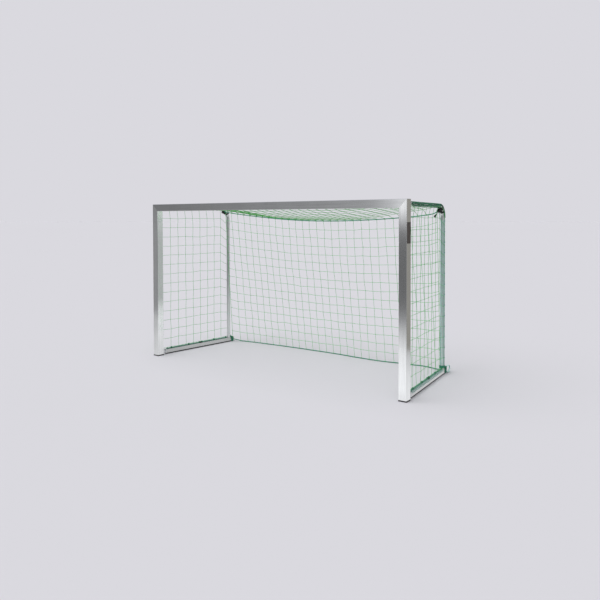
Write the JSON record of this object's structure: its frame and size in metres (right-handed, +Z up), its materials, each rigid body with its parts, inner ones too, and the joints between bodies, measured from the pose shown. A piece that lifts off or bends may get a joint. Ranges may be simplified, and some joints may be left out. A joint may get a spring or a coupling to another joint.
{
  "type": "soccer goal",
  "caption": "Small free-standing soccer goal: mitred square aluminium mouth frame, hinged side frames with round net hoops, rope-hung green net with square meshes",
  "frame": {"origin": "middle of the goal's outline on the floor, its loose ropes left out", "axes": "+Z up; the goal's mouth faces -Y; +X is to the right of somebody who looks into the mouth"},
  "size_m": [3.153, 1.1948, 1.675],
  "materials": {
    "frame_aluminium": "brushed, matt",
    "plate_aluminium": "sawn plate",
    "tube_aluminium": "matt",
    "zinc_steel": "zinc-plated",
    "dark_plastic": "moulded, matt",
    "clip_plastic": "moulded, matt",
    "label_film": "plain, matt",
    "strip_rubber": "matt",
    "strap_webbing": "woven",
    "net_rope": "braided polypropylene",
    "net_twine": "braided polypropylene"
  },
  "bodies": {
    "mouth_frame": {"crossbar": "frame_aluminium", "post_left": "frame_aluminium", "corner_plate_left": "plate_aluminium", "corner_screw_left": "zinc_steel", "post_foot_left": "dark_plastic", "upper_hinge_bracket_left": "zinc_steel", "lower_hinge_bracket_left": "zinc_steel", "upper_hinge_pin_left": "zinc_steel", "lower_hinge_pin_left": "zinc_steel", "net_hooks_left": "clip_plastic", "upper_bracket_bolt_left_inner": "zinc_steel", "upper_bracket_bolt_left_outer": "zinc_steel", "lower_bracket_bolt_left_inner": "zinc_steel", "lower_bracket_bolt_left_outer": "zinc_steel", "post_right": "frame_aluminium", "corner_plate_right": "plate_aluminium", "corner_screw_right": "zinc_steel", "post_foot_right": "dark_plastic", "upper_hinge_bracket_right": "zinc_steel", "lower_hinge_bracket_right": "zinc_steel", "upper_hinge_pin_right": "zinc_steel", "lower_hinge_pin_right": "zinc_steel", "net_hooks_right": "clip_plastic", "upper_bracket_bolt_right_inner": "zinc_steel", "upper_bracket_bolt_right_outer": "zinc_steel", "lower_bracket_bolt_right_inner": "zinc_steel", "lower_bracket_bolt_right_outer": "zinc_steel", "net_hooks_crossbar": "clip_plastic", "blank_label": "label_film", "roof_net": "net_twine", "back_net": "net_twine", "top_rope": "net_rope", "floor_rope": "net_rope"},
    "side_frame_left": {"ground_bar_left": "tube_aluminium", "bar_end_cap_left": "dark_plastic", "floor_strip_left": "strip_rubber", "lower_hinge_eye_left": "tube_aluminium", "upper_hinge_eye_left": "tube_aluminium", "net_hoop_left": "tube_aluminium", "peg_bolt_left": "zinc_steel", "side_net_left": "net_twine", "arm_rope_left": "net_rope", "bar_rope_left": "net_rope", "bar_clip_left": "clip_plastic", "hoop_strap_left": "strap_webbing", "corner_lashing_left": "net_rope"},
    "side_frame_right": {"ground_bar_right": "tube_aluminium", "bar_end_cap_right": "dark_plastic", "floor_strip_right": "strip_rubber", "lower_hinge_eye_right": "tube_aluminium", "upper_hinge_eye_right": "tube_aluminium", "net_hoop_right": "tube_aluminium", "peg_bolt_right": "zinc_steel", "side_net_right": "net_twine", "arm_rope_right": "net_rope", "bar_rope_right": "net_rope", "bar_clip_right": "clip_plastic", "hoop_strap_right": "strap_webbing", "corner_lashing_right": "net_rope"}
  },
  "joints": [
    {"name": "side_left_fold", "type": "hinge", "parent": "mouth_frame", "child": "side_frame_left", "pos_m": [-1.5375, -0.49203, 0], "axis": [0, 0, -1], "range_deg": [-6.5, 83.5], "deforming": ["back_net", "roof_net", "top_rope", "floor_rope"]},
    {"name": "side_right_fold", "type": "hinge", "parent": "mouth_frame", "child": "side_frame_right", "pos_m": [1.5375, -0.49203, 0], "axis": [0, 0, 1], "range_deg": [-6.5, 83.5], "deforming": ["back_net", "roof_net", "top_rope", "floor_rope"]}
  ]
}
